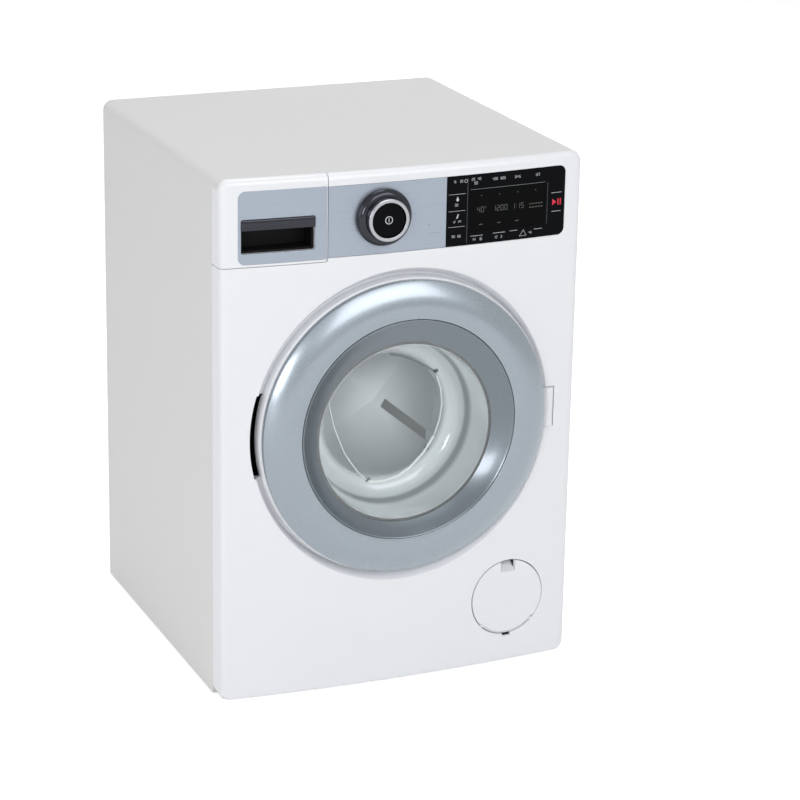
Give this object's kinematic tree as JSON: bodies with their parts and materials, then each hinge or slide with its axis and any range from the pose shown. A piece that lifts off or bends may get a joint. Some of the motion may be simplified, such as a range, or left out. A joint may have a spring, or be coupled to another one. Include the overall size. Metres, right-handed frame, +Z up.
{
  "type": "toy washing machine",
  "caption": "Toy front-loading washing machine: bowed white front, round silver door with clear bowl, turning drum, programme knob, pull-out drawer and service flap.",
  "frame": {"origin": "centre of the bounding box on the floor under the feet", "axes": "+X to the right seen from the front, +Y to the rear, +Z up; the door faces -Y"},
  "size_m": [0.185, 0.1926, 0.26],
  "materials": {
    "cabinet_white": "satin white moulding",
    "front_white": "smooth white moulding",
    "inner_white": "plain white moulding",
    "black_rubber": "matt rubber",
    "brushed_silver": "silver foil, brushed",
    "black_gloss": "gloss black with printed marks",
    "display_smoke": "smoked window",
    "electronics_black": "moulded case",
    "board_green": "lacquered board",
    "screw_steel": "zinc-plated",
    "black_matte": "fine grain",
    "grey_rubber": "soft rubber",
    "bush_brass": "sintered bush",
    "motor_can": "plated can",
    "cell_jacket": "printed jacket, bare of text",
    "ring_silver": "satin silver paint",
    "bevel_grey": "semi-gloss grey metallic",
    "clear_bowl": "clear plastic",
    "drum_white": "smooth, slightly translucent",
    "gear_ivory": "nylon",
    "knob_silver": "bright rim",
    "dark_chrome": "smoked chrome"
  },
  "bodies": {
    "cabinet": {"cabinet_shell": "cabinet_white", "front_panel": "front_white", "rear_cover": "cabinet_white", "base_plate": "inner_white", "rubber_feet": "black_rubber", "fascia_plate": "brushed_silver", "control_panel": "black_gloss", "display_lens": "display_smoke", "display_module": "electronics_black", "circuit_board": "board_green", "board_screws": "screw_steel", "programme_switch": "electronics_black", "power_switch": "electronics_black", "drawer_housing": "inner_white", "finger_cup": "black_matte", "latch_clip": "screw_steel", "hinge_pin": "screw_steel", "door_gasket": "grey_rubber", "tub_front": "inner_white", "tub": "inner_white", "drum_bush": "bush_brass", "gearbox_plate": "inner_white", "gearbox_screws": "screw_steel", "idler_axle": "screw_steel", "motor": "motor_can", "motor_bracket": "inner_white", "battery_box": "black_matte", "batteries": "cell_jacket", "battery_contacts": "screw_steel", "battery_cover": "inner_white", "cover_screw": "screw_steel", "case_screws": "screw_steel", "speaker": "black_matte", "service_cup": "front_white"},
    "door": {"door_body": "front_white", "door_ring": "ring_silver", "door_bevel": "bevel_grey", "door_window": "clear_bowl", "door_latch": "front_white"},
    "drum": {"drum_shell": "drum_white", "drum_back": "drum_white", "drum_lifters": "drum_white", "drum_shaft": "screw_steel", "drum_gear": "gear_ivory", "shaft_clip": "screw_steel"},
    "idler": {"idler_gear": "gear_ivory"},
    "pinion": {"motor_pinion": "gear_ivory", "motor_shaft": "screw_steel"},
    "knob": {"knob_body": "knob_silver", "knob_skirt": "dark_chrome", "knob_clip": "screw_steel"},
    "power_button": {"power_button": "black_gloss", "button_stem": "inner_white"},
    "drawer": {"drawer_front": "front_white", "drawer_inlay": "brushed_silver", "grip_bar": "dark_chrome", "grip_cup": "black_matte", "drawer_tray": "inner_white"},
    "service_flap": {"service_flap": "front_white"}
  },
  "joints": [
    {"name": "door_hinge", "type": "hinge", "parent": "cabinet", "child": "door", "pos_m": [0.078, -0.0839, 0.1324], "axis": [0, 0, 1], "range_deg": [0, 105]},
    {"name": "drum_spin", "type": "hinge", "parent": "cabinet", "child": "drum", "pos_m": [0, -0.0337, 0.1324], "axis": [0, 1, 0], "continuous": true},
    {"name": "idler_spin", "type": "hinge", "parent": "cabinet", "child": "idler", "pos_m": [0, 0.0163, 0.0952], "axis": [0, 1, 0], "continuous": true},
    {"name": "pinion_spin", "type": "hinge", "parent": "cabinet", "child": "pinion", "pos_m": [0.02182, 0.0223, 0.0826], "axis": [0, 1, 0], "continuous": true},
    {"name": "knob_turn", "type": "hinge", "parent": "cabinet", "child": "knob", "pos_m": [-0.013, -0.0837, 0.2375], "axis": [0, 1, 0], "continuous": true},
    {"name": "power_press", "type": "slide", "parent": "knob", "child": "power_button", "axis": [0, 1, 0], "range_m": [0, 0.0012], "stiffness_N_per_m": 400},
    {"name": "drawer_slide", "type": "slide", "parent": "cabinet", "child": "drawer", "axis": [0, -1, 0], "range_m": [0, 0.055]},
    {"name": "flap_hinge", "type": "hinge", "parent": "cabinet", "child": "service_flap", "pos_m": [0.05824, -0.08582, 0.0207], "axis": [0.9977, 0.0679, 0], "range_deg": [0, 95]}
  ],
  "couplings": [
    {"joint": "idler_spin", "follows": "drum_spin", "ratio": -4.1667},
    {"joint": "pinion_spin", "follows": "drum_spin", "ratio": 10.417}
  ]
}
